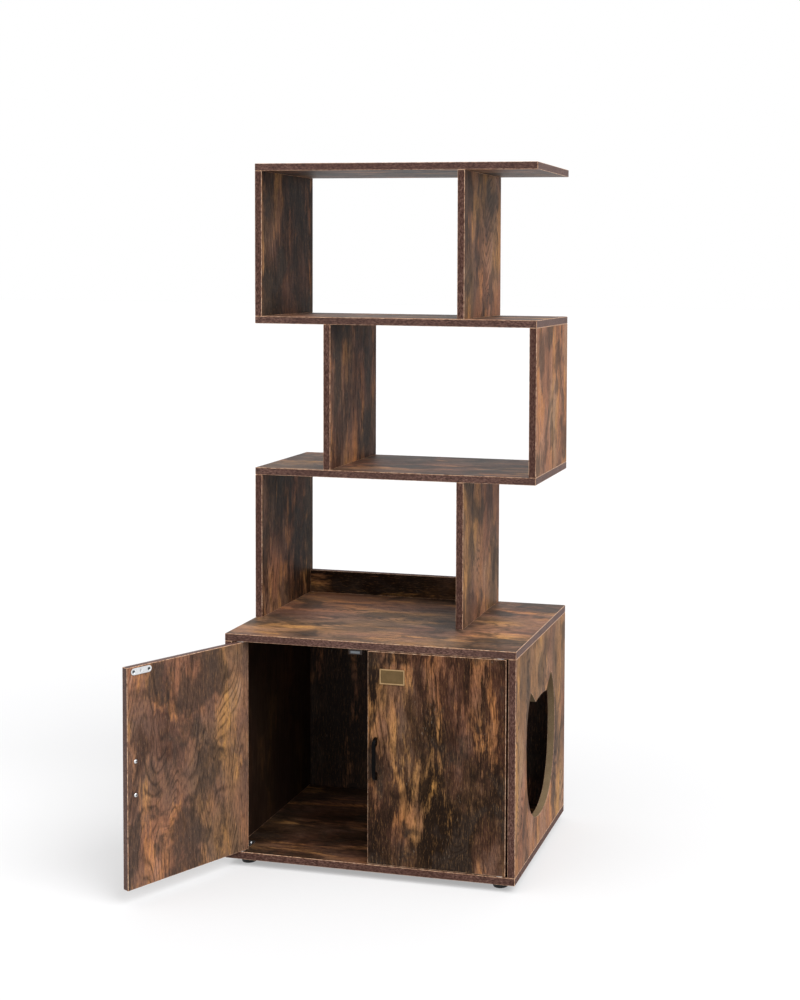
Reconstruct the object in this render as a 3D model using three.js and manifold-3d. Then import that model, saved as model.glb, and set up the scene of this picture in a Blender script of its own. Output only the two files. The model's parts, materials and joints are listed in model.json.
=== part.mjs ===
// Cat litter box cabinet with an open bookshelf on its top.
//
// Millimetres. X runs to the right, Y to the back and Z up. The origin is on the floor, midway
// between the four feet. The left door is built open.

import * as THREE from 'three';
import { mergeVertices } from 'three/addons/utils/BufferGeometryUtils.js';
import Module from 'manifold-3d';

const wasm = await Module();
wasm.setup();

// ---------------------------------------------------------------- driving dimensions

// Boards
const boardThickness = 15;
const cabinetWidth = 600;
const cabinetDepth = 420;
const sideHeight = 425; // side panels and door opening, between the cabinet's two boards
const shelfDepth = 275; // bookshelf, flush with the cabinet's back
const levelHeight = 299; // clear height of each bookshelf level
const uprightInset = 150; // from the end of a shelf to an upright that stands in from it
const railHeight = 50;

// Back panel and the grooves that it slides in
const panelThickness = 3;
const grooveDepth = 6;
const grooveSetback = 12; // from the boards' back edges to the panel
const panelPlay = 0.6; // from the panel's edge to the groove's floor

// Entrance in the right side panel, shaped as a cat's head. Heights start at the panel's bottom edge.
const entranceHalfWidth = 120;
const entranceSill = 57;
const entranceWidest = 220; // height at which it is widest
const entranceCrown = 299; // top of the head between the ears
const entranceForward = 5; // from the panel's middle to the entrance's centre line
const crownHalfWidth = 44;
const crownBulge = 4;
const earSpread = 85; // from the centre line to an ear's tip
const earRise = 30; // from the crown to an ear's tip
const earTipRadius = 3;
const sillFullness = 85; // how far the sill runs level before it turns up
const jowlFullness = 105; // how far the side runs upright below the widest point
const templeFullness = 40; // and above it
const earFlare = 27; // how far the ear's outer side bows out below its tip

// Doors
const doorSideGap = 4.5;
const doorMeetingGap = 1.5;
const doorTopGap = 1.5;
const doorBottomGap = 1.5;
const leftDoorOpenAngle = 117.5;
const rightDoorOpenAngle = 0;

// Pivots: a plate with a pin at each end of each door, and a flanged bush in the door
const pinInset = 12; // from the door's hinge edge
const pinDiameter = 4.5;
const pinLength = 8;
const pinChamfer = 0.6;
const pivotPlateWidth = 16;
const pivotPlateLength = 58;
const pivotPlateThickness = 1;
const pivotPlateSetback = 1.5; // from the cabinet's front
const pivotPlateCorner = 4;
const pivotScrewSetback = 9; // from the plate's rear end
const bushWall = 1.2;
const bushLength = 10;
const bushFlangeDiameter = 11;
const bushFlangeThickness = 1;
const bushProud = 0.2; // how far the flange stands out of the door's end

// Magnetic catches and strike plates
const strikeLength = 45;
const strikeWidth = 13;
const strikeThickness = 1.2;
const strikeScrewSpacing = 33.4;
const strikeDimpleRadius = 8; // of the ball that the shallow dimple at its middle is pressed with
const strikeDimpleDepth = 0.7;
const strikeFromEdge = 30.75; // from the door's free edge to the strike's middle
const strikeFromTop = 9;
const catchWidth = 46;
const catchBodyWidth = 28;
const catchDepth = 14;
const catchEarThickness = 3;
const catchEarHole = 3.6;
const catchWall = 1.6; // under the magnet
const catchGap = 0.4; // from the closed door's strike to the magnet
const magnetWidth = 20;
const magnetHeight = 5;
const magnetDepth = 8;
const magnetProud = 0.2;

// Handles
const handleLength = 84;
const handleWidth = 7;
const handleReach = 15; // out from the door
const handleGrip = 4; // thickness of the bar
const handleFoot = 15; // height of each foot where it meets the door
const handleSweep = 7.5; // how far the bar's underside rises before it runs straight
const handleShoulder = 13.5; // how far the outer side of a foot leans in on its way out to the bar
const handleScrewSpacing = 64;
const handleFromEdge = 17.5; // from the door's free edge
const handleBevel = 0.8;

// Name plate on the right door, bare
const namePlateWidth = 51;
const namePlateHeight = 30;
const namePlateThickness = 1.2;
const namePlateBorder = 2.4;
const namePlateRise = 0.7; // border above the field
const namePlateFromEdge = 25.25;
const namePlateFromTop = 33;

// Feet
const footDiameter = 34;
const footHeight = 15;
const footSetIn = 37; // from the cabinet's end to the foot's axis
const footSetBack = 33; // from its front or back
const footTaper = 2; // radius lost towards the floor
const footEdge = 2.5; // rounding at the floor
const footRecessDiameter = 12;
const footRecessDepth = 7;

// Screws
const pivotScrew = { headDiameter: 7, headHeight: 2.2, shankDiameter: 3.5, length: 12 };
const strikeScrew = { headDiameter: 6, countersunk: true, shankDiameter: 3, length: 11 };
const handleScrew = { headDiameter: 8, headHeight: 2.6, shankDiameter: 3.6, length: 23 };
const baseScrew = { headDiameter: 10, countersunk: true, shankDiameter: 6, length: 50 };
const boardScrew = { headDiameter: 8, countersunk: true, shankDiameter: 4, length: 42 };
const baseScrewSetback = 40; // from the cabinet's front or back
const uprightScrewSetback = 60; // from the upright's front or back edge
const railScrewSetback = 70; // from the rail's end
const screwPoint = 2; // length of a screw's tip
const screwSink = 0.3; // how far a countersunk head lies below the face

// Fits
const fit = 0.3; // between a piece and the hole cut for it
const seat = 0.3; // under a piece that is fixed to a door's face
const roundSides = 24; // sides of pins, bushes and their holes
const screwSides = 16;
const footSides = 40;
const curveSteps = 16; // steps of each curve of the entrance

// ---------------------------------------------------------------- places worked out from them

const halfWidth = cabinetWidth / 2;
const sideInner = halfWidth - boardThickness; // inner face of a side panel
const front = -cabinetDepth / 2;
const back = cabinetDepth / 2;
const shelfFront = back - shelfDepth;

const cabinetBottom = footHeight;
const sideBottom = cabinetBottom + boardThickness;
const sideTop = sideBottom + sideHeight;
const cabinetTop = sideTop + boardThickness;
const levelPitch = levelHeight + boardThickness;
const levelBottom = (level) => cabinetTop + (level - 2) * levelPitch; // levels 2, 3 and 4

const insetOuter = halfWidth - uprightInset; // outer face of an upright that stands in
const insetInner = insetOuter - boardThickness;

const doorWidth = sideInner - doorSideGap - doorMeetingGap / 2;
const doorBottom = sideBottom + doorBottomGap;
const doorHeight = sideHeight - doorBottomGap - doorTopGap;
const pinX = sideInner - doorSideGap - pinInset;
const pinY = front + boardThickness / 2;
const doorFace = boardThickness / 2; // from the pin's axis to either face of the door

const bushOuterDiameter = pinDiameter + 2 * (fit + bushWall);
const strikeBack = doorFace + seat + strikeThickness; // rear face of the strike, from the pin's axis
const magnetFront = pinY + strikeBack + catchGap;
const catchFront = magnetFront + magnetProud;
const strikeX = doorMeetingGap / 2 + strikeFromEdge; // of a closed door's strike, from the middle
const strikeZ = doorBottom + doorHeight - strikeFromTop;
const catchHeight = sideTop - strikeZ + magnetHeight / 2 + fit + catchWall;

// ---------------------------------------------------------------- finishes

const paint = (color, roughness, metalness) =>
  new THREE.MeshStandardMaterial({ color, roughness, metalness });

const finishes = {
  board: paint(0x6f4a34, 0.55, 0),
  hardboard: paint(0x2e231c, 0.75, 0),
  blackMetal: paint(0x151515, 0.4, 0.6),
  steel: paint(0xc9c9c6, 0.3, 0.9),
  nylon: paint(0xd8d4cb, 0.5, 0),
  catchPlastic: paint(0x241c18, 0.5, 0),
  blackPlastic: paint(0x111111, 0.6, 0),
  brass: paint(0x9c8460, 0.45, 0.7),
};

// ---------------------------------------------------------------- forms

// A closed geometry as a solid that can be cut and joined.
function toSolid(geometry) {
  const bare = geometry.clone();
  bare.deleteAttribute('normal');
  bare.deleteAttribute('uv');
  const merged = mergeVertices(bare, 1e-4);
  const index = merged.index.array;
  const triangles = [];
  for (let i = 0; i < index.length; i += 3) {
    const [a, b, c] = [index[i], index[i + 1], index[i + 2]];
    if (a !== b && b !== c && c !== a) triangles.push(a, b, c);
  }
  return new wasm.Manifold(new wasm.Mesh({
    numProp: 3,
    vertProperties: new Float32Array(merged.attributes.position.array),
    triVerts: new Uint32Array(triangles),
  }));
}

function toGeometry(solid) {
  const mesh = solid.getMesh();
  const geometry = new THREE.BufferGeometry();
  geometry.setAttribute('position', new THREE.BufferAttribute(mesh.vertProperties, 3));
  geometry.setIndex(new THREE.BufferAttribute(mesh.triVerts, 1));
  geometry.computeVertexNormals();
  return geometry;
}

function cut(geometry, cutters) {
  return toGeometry(cutters.reduce((solid, cutter) => solid.subtract(toSolid(cutter)), toSolid(geometry)));
}

function join(geometry, other) {
  return toGeometry(toSolid(geometry).add(toSolid(other)));
}

// A block between two values on each axis.
function block([x0, x1], [y0, y1], [z0, z1]) {
  return new THREE.BoxGeometry(x1 - x0, y1 - y0, z1 - z0)
    .translate((x0 + x1) / 2, (y0 + y1) / 2, (z0 + z1) / 2);
}

// A round form about the Z axis, from [radius, height] pairs that run from its low end to its high end.
function revolve(profile, sides) {
  const points = profile.map(([radius, height]) => new THREE.Vector2(radius, height));
  return new THREE.LatheGeometry(points, sides).rotateX(Math.PI / 2);
}

const cylinder = (diameter, low, high, sides) =>
  revolve([[0, low], [diameter / 2, low], [diameter / 2, high], [0, high]], sides);

function roundedRectangle(width, height, radius) {
  const [x, y] = [width / 2, height / 2];
  return new THREE.Shape()
    .moveTo(x - radius, -y)
    .absarc(x - radius, radius - y, radius, -Math.PI / 2, 0)
    .absarc(x - radius, y - radius, radius, 0, Math.PI / 2)
    .absarc(radius - x, y - radius, radius, Math.PI / 2, Math.PI)
    .absarc(radius - x, radius - y, radius, Math.PI, 1.5 * Math.PI);
}

const extrude = (shape, depth, curveSegments = 6) =>
  new THREE.ExtrudeGeometry(shape, { depth, bevelEnabled: false, curveSegments });

// Turns a form drawn in X and Y, and raised along Z, so that it is drawn in Y and Z along X.
const drawnFromTheSide = (geometry) => geometry.applyMatrix4(new THREE.Matrix4().makeBasis(
  new THREE.Vector3(0, 1, 0), new THREE.Vector3(0, 0, 1), new THREE.Vector3(1, 0, 0)));

// Turns it so that it is drawn in X and Z, and raised towards the front.
const drawnFromTheFront = (geometry) => geometry.rotateX(Math.PI / 2);

const up = new THREE.Vector3(0, 0, 1);
const down = new THREE.Vector3(0, 0, -1);
const forwards = new THREE.Vector3(0, -1, 0);

function aimed(geometry, [x, y, z], direction) {
  const turn = new THREE.Quaternion().setFromUnitVectors(up, direction);
  return geometry.applyQuaternion(turn).translate(x, y, z);
}

// A screw along +Z with the underside of its pan head, or the top of its countersunk head, at zero.
// Grown by a clearance, the same outline is the hole that it goes in.
function screwForm(screw, grow = 0) {
  const head = screw.headDiameter / 2 + grow;
  const shank = screw.shankDiameter / 2 + grow;
  const tip = screw.length + grow;
  const body = [[shank, tip - screwPoint], [0, tip]];
  if (screw.countersunk) {
    return revolve([[0, -grow], [head, -grow], [shank, head - shank], ...body], screwSides);
  }
  const dome = [[0, -1], [0.5, -0.94], [0.82, -0.72], [1, -0.35], [1, 0]];
  const panHead = dome.map(([r, h]) => [r * head, h * screw.headHeight]);
  return revolve([...panHead, [shank, 0], ...body], screwSides);
}

function screwHole(screw, at, direction) {
  if (screw.countersunk) return aimed(screwForm(screw, fit), at, direction);
  const diameter = screw.shankDiameter + 2 * fit;
  return aimed(cylinder(diameter, -fit, screw.length + fit, screwSides), at, direction);
}

// ---------------------------------------------------------------- assembly

const cabinet = new THREE.Group();

function place(parent, name, geometry, finish, [x, y, z] = [0, 0, 0]) {
  const mesh = new THREE.Mesh(geometry, finish);
  mesh.name = name;
  mesh.position.set(x, y, z);
  parent.add(mesh);
  return mesh;
}

function fasten(parent, name, screw, at, direction, finish = finishes.steel) {
  const mesh = place(parent, name, screwForm(screw), finish, at);
  mesh.quaternion.setFromUnitVectors(up, direction);
}

// A board between two values on each axis, with holes and grooves given in the cabinet's frame.
function board(name, x, y, z, cutters = [], finish = finishes.board) {
  const centre = [x, y, z].map(([low, high]) => (low + high) / 2);
  const size = [x, y, z].map(([low, high]) => high - low);
  const plain = new THREE.BoxGeometry(...size);
  const moved = cutters.map((cutter) => cutter.translate(-centre[0], -centre[1], -centre[2]));
  place(cabinet, name, moved.length ? cut(plain, moved) : plain, finish, centre);
}

// ---- places of the screws, so that boards and screws share them

const baseScrewPlaces = [-1, 1].flatMap((side) => [-1, 1].map((end) => ({
  name: `base_screw_${end < 0 ? 'front' : 'back'}_${side < 0 ? 'left' : 'right'}`,
  side,
  at: [side * (halfWidth - boardThickness / 2), end * (back - baseScrewSetback),
    cabinetBottom + screwSink],
})));

const insetUprightMiddle = insetOuter - boardThickness / 2;
const topScrewPlaces = [
  ['upright_screw_front', insetUprightMiddle, shelfFront + uprightScrewSetback],
  ['upright_screw_back', insetUprightMiddle, back - uprightScrewSetback],
  ['rail_screw_left', -sideInner + railScrewSetback, back - boardThickness / 2],
  ['rail_screw_right', insetInner - railScrewSetback, back - boardThickness / 2],
].map(([name, x, y]) => ({ name, at: [x, y, sideTop + screwSink] }));

const baseScrewHoles = (side) => baseScrewPlaces
  .filter((screw) => !side || screw.side === side)
  .map((screw) => screwHole(baseScrew, screw.at, up));

const topScrewHoles = (prefix = '') => topScrewPlaces
  .filter((screw) => screw.name.startsWith(prefix))
  .map((screw) => screwHole(boardScrew, screw.at, up));

const pivotScrewY = front + pivotPlateSetback + pivotPlateLength - pivotScrewSetback;
const pivotScrewHoles = (seatHeight, direction) => [-1, 1].map((side) =>
  screwHole(pivotScrew, [side * pinX, pivotScrewY, seatHeight], direction));

// ---- back panel and its grooves

const panelY = [back - grooveSetback - panelThickness, back - grooveSetback];
const grooveY = [panelY[0] - fit, panelY[1] + fit];
const grooveX = sideInner + grooveDepth;

const sideGroove = (side) => block(
  side < 0 ? [-grooveX, -sideInner + fit] : [sideInner - fit, grooveX],
  grooveY, [sideBottom - fit, sideTop + fit]);
const bottomGroove = () => block([-grooveX, grooveX], grooveY, [sideBottom - grooveDepth, sideBottom + fit]);
const topGroove = () => block([-grooveX, grooveX], grooveY, [sideTop - fit, sideTop + grooveDepth]);

function addBackPanel() {
  const reach = grooveDepth - panelPlay;
  board('cabinet_back_panel', [-sideInner - reach, sideInner + reach], panelY,
    [sideBottom - reach, sideTop + reach], [], finishes.hardboard);
}

// ---- entrance

// Right half of the cat's head, from the middle of the sill round to the middle of the crown.
function entranceHalf() {
  const tipHeight = entranceCrown + earRise;
  const tipOuter = [earSpread + earTipRadius, tipHeight - earTipRadius];
  const tipInner = [earSpread - earTipRadius, tipHeight - 0.7 * earTipRadius];
  return new THREE.Path()
    .moveTo(0, entranceSill)
    .bezierCurveTo(sillFullness, entranceSill,
      entranceHalfWidth, entranceWidest - jowlFullness, entranceHalfWidth, entranceWidest)
    .bezierCurveTo(entranceHalfWidth, entranceWidest + templeFullness,
      earSpread + earFlare, tipHeight - earFlare, ...tipOuter)
    .quadraticCurveTo(earSpread + 0.3 * earTipRadius, tipHeight + 0.3 * earTipRadius, ...tipInner)
    .lineTo(crownHalfWidth, entranceCrown)
    .quadraticCurveTo(crownHalfWidth / 2, entranceCrown + crownBulge, 0, entranceCrown + crownBulge);
}

function entranceCutter() {
  const half = entranceHalf().getPoints(curveSteps);
  const otherHalf = half.slice(1, -1).reverse().map((point) => new THREE.Vector2(-point.x, point.y));
  const outline = new THREE.Shape([...half, ...otherHalf]);
  return drawnFromTheSide(extrude(outline, boardThickness + 2 * fit))
    .translate(sideInner - fit, -entranceForward, sideBottom);
}

// ---- boards of the cabinet and the bookshelf

function addCabinetBoards() {
  const fullWidth = [-halfWidth, halfWidth];
  const fullDepth = [front, back];
  const sideSpan = [sideBottom, sideTop];
  board('cabinet_bottom_board', fullWidth, fullDepth, [cabinetBottom, sideBottom],
    [bottomGroove(), ...baseScrewHoles(), ...pivotScrewHoles(sideBottom + pivotPlateThickness, down)]);
  board('cabinet_top_board', fullWidth, fullDepth, [sideTop, cabinetTop],
    [topGroove(), ...topScrewHoles(), ...pivotScrewHoles(sideTop - pivotPlateThickness, up)]);
  board('cabinet_left_side', [-halfWidth, -sideInner], fullDepth, sideSpan,
    [sideGroove(-1), ...baseScrewHoles(-1)]);
  board('cabinet_right_side', [sideInner, halfWidth], fullDepth, sideSpan,
    [sideGroove(1), ...baseScrewHoles(1), entranceCutter()]);
}

// Each level stands on the board below it, with one upright at an end and the other set in from the
// other end. Level 3 is the mirror image of levels 2 and 4.
function addBookshelf() {
  const depth = [shelfFront, back];
  const levels = [
    { level: 2, mirrored: false, shelf: 'tier_2_shelf' },
    { level: 3, mirrored: true, shelf: 'tier_3_shelf' },
    { level: 4, mirrored: false, shelf: 'top_shelf' },
  ];
  for (const { level, mirrored, shelf } of levels) {
    const low = levelBottom(level);
    const high = low + levelHeight;
    const left = mirrored ? [-insetOuter, -insetInner] : [-halfWidth, -sideInner];
    const right = mirrored ? [sideInner, halfWidth] : [insetInner, insetOuter];
    const screwHoles = level === 2 ? topScrewHoles('upright') : [];
    board(`level_${level}_left_upright`, left, depth, [low, high]);
    board(`level_${level}_right_upright`, right, depth, [low, high], screwHoles);
    board(shelf, [-halfWidth, halfWidth], depth, [high, high + boardThickness]);
  }
  board('back_rail', [-sideInner, insetInner], [back - boardThickness, back],
    [cabinetTop, cabinetTop + railHeight], topScrewHoles('rail'));
}

function addBoardScrews() {
  for (const { name, at } of baseScrewPlaces) fasten(cabinet, name, baseScrew, at, up);
  for (const { name, at } of topScrewPlaces) fasten(cabinet, name, boardScrew, at, up);
}

function addFeet() {
  const floorRadius = footDiameter / 2 - footTaper;
  const recess = footRecessDiameter / 2;
  const form = revolve([
    [0, footRecessDepth],
    [recess, footRecessDepth],
    [recess, 0],
    [floorRadius - footEdge, 0],
    [floorRadius - 0.3 * footEdge, 0.3 * footEdge],
    [floorRadius, footEdge],
    [footDiameter / 2, footHeight],
    [0, footHeight],
  ], footSides);
  for (const side of [-1, 1]) {
    for (const end of [-1, 1]) {
      const name = `foot_${end < 0 ? 'front' : 'back'}_${side < 0 ? 'left' : 'right'}`;
      const at = [side * (halfWidth - footSetIn), end * (back - footSetBack), 0];
      place(cabinet, name, form.clone(), finishes.blackPlastic, at);
    }
  }
}

// ---- pivots

// Plate with its pin standing up. It lies on Z = 0, with the pin's axis at the origin.
function pivotForm() {
  const pinTop = pivotPlateThickness + pinLength;
  const pinRadius = pinDiameter / 2;
  const pin = revolve([
    [0, 0], [pinRadius, 0], [pinRadius, pinTop - pinChamfer], [pinRadius - pinChamfer, pinTop], [0, pinTop],
  ], roundSides);
  const plateMiddle = front + pivotPlateSetback + pivotPlateLength / 2 - pinY;
  const outline = roundedRectangle(pivotPlateWidth, pivotPlateLength, pivotPlateCorner);
  const plate = extrude(outline, pivotPlateThickness).translate(0, plateMiddle, 0);
  const hole = cylinder(pivotScrew.shankDiameter + 2 * fit, -1, pivotPlateThickness + 1, screwSides)
    .translate(0, pivotScrewY - pinY, 0);
  return cut(join(plate, pin), [hole]);
}

function addPivots(side) {
  const hand = side < 0 ? 'left' : 'right';
  const x = side * pinX;
  place(cabinet, `${hand}_lower_pivot`, pivotForm(), finishes.steel, [x, pinY, sideBottom]);
  const upper = place(cabinet, `${hand}_upper_pivot`, pivotForm(), finishes.steel, [x, pinY, sideTop]);
  upper.rotation.y = Math.PI;
  fasten(cabinet, `${hand}_lower_pivot_screw`, pivotScrew,
    [x, pivotScrewY, sideBottom + pivotPlateThickness], down);
  fasten(cabinet, `${hand}_upper_pivot_screw`, pivotScrew,
    [x, pivotScrewY, sideTop - pivotPlateThickness], up);
}

// Flanged bush with its flange down, its open end up and its flange's outer face at zero.
function bushForm() {
  const bore = pinDiameter / 2 + fit;
  const outer = bushOuterDiameter / 2;
  const flange = bushFlangeDiameter / 2;
  const top = bushFlangeThickness + bushLength;
  return revolve([
    [bore, 0], [flange, 0], [flange, bushFlangeThickness], [outer, bushFlangeThickness],
    [outer, top], [bore, top], [bore, 0],
  ], roundSides);
}

// Hole for the bush, into the door's bottom end.
function bushHole() {
  const flangeSeat = bushFlangeThickness - bushProud + fit;
  const depth = bushFlangeThickness + bushLength - bushProud + fit;
  const flange = bushFlangeDiameter / 2 + fit;
  const outer = bushOuterDiameter / 2 + fit;
  return revolve([
    [0, -1], [flange, -1], [flange, flangeSeat], [outer, flangeSeat], [outer, depth], [0, depth],
  ], roundSides);
}

// ---- catches

// Housing seen from the front: a body that hangs from two ears, with a pocket for the magnet.
function catchForm() {
  const ear = catchWidth / 2;
  const body = catchBodyWidth / 2;
  const outline = new THREE.Shape([
    [-ear, 0], [-ear, -catchEarThickness], [-body, -catchEarThickness], [-body, -catchHeight],
    [body, -catchHeight], [body, -catchEarThickness], [ear, -catchEarThickness], [ear, 0],
  ].map(([x, z]) => new THREE.Vector2(x, z)));
  const housing = drawnFromTheFront(extrude(outline, catchDepth)).translate(0, catchDepth, 0);
  const magnetMiddle = strikeZ - sideTop;
  const pocketHalf = magnetHeight / 2 + fit;
  const pocket = block([-magnetWidth / 2 - fit, magnetWidth / 2 + fit], [-1, magnetDepth + fit],
    [magnetMiddle - pocketHalf, magnetMiddle + pocketHalf]);
  const holes = [-1, 1].map((end) => cylinder(catchEarHole, -catchEarThickness - 1, 1, screwSides)
    .translate(end * (ear + body) / 2, catchDepth / 2, 0));
  return cut(housing, [pocket, ...holes]);
}

function addCatch(side) {
  const hand = side < 0 ? 'left' : 'right';
  place(cabinet, `${hand}_catch`, catchForm(), finishes.catchPlastic, [side * strikeX, catchFront, sideTop]);
  const magnet = new THREE.BoxGeometry(magnetWidth, magnetDepth, magnetHeight);
  place(cabinet, `${hand}_catch_magnet`, magnet, finishes.steel,
    [side * strikeX, magnetFront + magnetDepth / 2, strikeZ]);
}

// ---- doors. A door's own frame has the pin's axis as its Z axis and the door's bottom at zero.

// Its rear face, which the magnet holds, lies on Y = 0.
function strikeForm(holes) {
  const pill = roundedRectangle(strikeLength, strikeWidth, strikeWidth / 2);
  const dimple = new THREE.SphereGeometry(strikeDimpleRadius, 48, 32)
    .rotateX(Math.PI / 2)
    .translate(0, strikeDimpleRadius - strikeDimpleDepth, 0);
  return cut(drawnFromTheFront(extrude(pill, strikeThickness, 8)), [...holes, dimple]);
}

// Bridge seen from the side: the bar stands clear of the door between two curved feet.
function handleForm() {
  const outer = handleLength / 2;
  const inner = outer - handleFoot;
  const under = handleReach - handleGrip;
  const outline = new THREE.Shape()
    .moveTo(-outer, 0)
    .lineTo(-inner, 0)
    .quadraticCurveTo(-inner, under, handleSweep - inner, under)
    .lineTo(inner - handleSweep, under)
    .quadraticCurveTo(inner, under, inner, 0)
    .lineTo(outer, 0)
    .quadraticCurveTo(outer, handleReach, outer - handleShoulder, handleReach)
    .lineTo(handleShoulder - outer, handleReach)
    .quadraticCurveTo(-outer, handleReach, -outer, 0);
  const bar = new THREE.ExtrudeGeometry(outline, {
    depth: handleWidth - 2 * handleBevel,
    bevelSize: handleBevel,
    bevelThickness: handleBevel,
    bevelOffset: -handleBevel,
    bevelSegments: 2,
    curveSegments: 6,
  }).translate(0, 0, handleBevel - handleWidth / 2);
  // Drawn with the length along X and the reach along Y: stood upright, with the reach to the front.
  return bar.applyMatrix4(new THREE.Matrix4().makeBasis(
    new THREE.Vector3(0, 0, 1), new THREE.Vector3(0, -1, 0), new THREE.Vector3(1, 0, 0)));
}

function namePlateForm() {
  const plate = drawnFromTheFront(
    extrude(roundedRectangle(namePlateWidth, namePlateHeight, 1), namePlateThickness + namePlateRise, 3));
  const halfField = [namePlateWidth / 2 - namePlateBorder, namePlateHeight / 2 - namePlateBorder];
  const field = block([-halfField[0], halfField[0]],
    [-namePlateThickness - namePlateRise - 1, -namePlateThickness], [-halfField[1], halfField[1]]);
  return cut(plate, [field]);
}

function addDoor(side, openAngle) {
  const hand = side < 0 ? 'left' : 'right';
  const door = new THREE.Group();
  door.position.set(side * pinX, pinY, doorBottom);
  door.rotation.z = side * THREE.MathUtils.degToRad(openAngle);
  cabinet.add(door);

  const fromEdge = (distance) => -side * (doorWidth - pinInset - distance);
  const innerFace = doorFace + seat;

  const bottomHole = bushHole();
  const topHole = bushHole().rotateX(Math.PI).translate(0, 0, doorHeight);
  const handleX = fromEdge(handleFromEdge);
  const handlePlaces = [-1, 1].map((end) =>
    [handleX, innerFace, (doorHeight + end * handleScrewSpacing) / 2]);
  const strikeAt = [fromEdge(strikeFromEdge), innerFace, doorHeight - strikeFromTop];
  const strikeScrewY = innerFace + strikeThickness - screwSink;
  const strikeScrewPlaces = [-1, 1].map((end) =>
    [strikeAt[0] + end * strikeScrewSpacing / 2, strikeScrewY, strikeAt[2]]);

  const [xLow, xHigh] = [fromEdge(doorWidth), fromEdge(0)].sort((a, b) => a - b);
  const slab = block([xLow, xHigh], [-doorFace, doorFace], [0, doorHeight]);
  const holes = [bottomHole, topHole,
    ...handlePlaces.map((at) => screwHole(handleScrew, at, forwards)),
    ...strikeScrewPlaces.map((at) => screwHole(strikeScrew, at, forwards))];
  place(door, `${hand}_door`, cut(slab, holes), finishes.board);

  place(door, `${hand}_lower_bush`, bushForm(), finishes.nylon, [0, 0, -bushProud]);
  const upperBush = place(door, `${hand}_upper_bush`, bushForm(), finishes.nylon);
  upperBush.position.z = doorHeight + bushProud;
  upperBush.rotation.x = Math.PI;

  const strikeHoles = strikeScrewPlaces.map(([x, y, z]) =>
    screwHole(strikeScrew, [x - strikeAt[0], y - innerFace - strikeThickness, z - strikeAt[2]], forwards));
  place(door, `${hand}_strike_plate`, strikeForm(strikeHoles), finishes.steel,
    [strikeAt[0], innerFace + strikeThickness, strikeAt[2]]);
  strikeScrewPlaces.forEach((at, i) =>
    fasten(door, `${hand}_strike_screw_${i + 1}`, strikeScrew, at, forwards));

  const handleHoles = handlePlaces.map(([, y, z]) =>
    screwHole(handleScrew, [0, y + doorFace + seat, z - doorHeight / 2], forwards));
  place(door, `${hand}_handle`, cut(handleForm(), handleHoles), finishes.blackMetal,
    [handleX, -doorFace - seat, doorHeight / 2]);
  handlePlaces.forEach((at, i) =>
    fasten(door, `${hand}_handle_screw_${i + 1}`, handleScrew, at, forwards));

  if (side > 0) {
    place(door, 'name_plate', namePlateForm(), finishes.brass,
      [fromEdge(namePlateFromEdge + namePlateWidth / 2), -doorFace - seat,
        doorHeight - namePlateFromTop - namePlateHeight / 2]);
  }
}

addCabinetBoards();
addBackPanel();
addBookshelf();
addBoardScrews();
addFeet();
for (const side of [-1, 1]) {
  addPivots(side);
  addCatch(side);
}
addDoor(-1, leftDoorOpenAngle);
addDoor(1, rightDoorOpenAngle);

export default cabinet;
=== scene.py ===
"""Cat litter box cabinet: materials, small fittings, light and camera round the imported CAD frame."""

import json
import math
from typing import NamedTuple

import bmesh
import bpy
import numpy as np
from mathutils import Euler, Matrix, Vector

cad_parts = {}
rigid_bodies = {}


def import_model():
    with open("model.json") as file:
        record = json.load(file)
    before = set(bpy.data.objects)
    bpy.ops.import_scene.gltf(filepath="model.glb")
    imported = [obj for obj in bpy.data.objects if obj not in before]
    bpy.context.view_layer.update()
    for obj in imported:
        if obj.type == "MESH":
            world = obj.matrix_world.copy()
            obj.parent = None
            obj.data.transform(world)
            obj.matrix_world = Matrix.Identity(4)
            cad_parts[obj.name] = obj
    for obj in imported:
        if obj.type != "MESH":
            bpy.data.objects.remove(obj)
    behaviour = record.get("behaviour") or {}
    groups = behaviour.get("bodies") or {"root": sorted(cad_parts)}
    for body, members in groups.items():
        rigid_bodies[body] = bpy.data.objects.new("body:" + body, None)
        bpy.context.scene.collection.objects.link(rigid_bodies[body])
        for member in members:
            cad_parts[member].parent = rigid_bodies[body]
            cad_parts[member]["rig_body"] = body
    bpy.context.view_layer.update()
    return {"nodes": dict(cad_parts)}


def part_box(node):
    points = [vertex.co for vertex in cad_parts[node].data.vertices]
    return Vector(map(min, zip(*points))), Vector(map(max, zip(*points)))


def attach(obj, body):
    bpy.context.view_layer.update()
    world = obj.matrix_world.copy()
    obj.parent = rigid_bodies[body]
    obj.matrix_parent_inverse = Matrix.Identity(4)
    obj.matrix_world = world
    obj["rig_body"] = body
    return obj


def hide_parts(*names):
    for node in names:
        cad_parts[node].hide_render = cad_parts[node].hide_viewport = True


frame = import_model()
nodes = frame["nodes"]
scene = bpy.context.scene

MM = 0.001
X, Y, Z = range(3)

# ---------------------------------------------------------------- camera, solved from the photograph

YAW, PITCH, ROLL = (math.radians(degrees) for degrees in (12.675, -2.744, 0.46))
FOCAL_PX = 1521.0
PRINCIPAL_PX = (570.0, 340.0)
IMAGE_PX = (800, 1000)
CAMERA_AT = Vector((1.02455, -2.98627, 1.20428))
SENSOR = 36.0  # the width of a full frame, in mm


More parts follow.
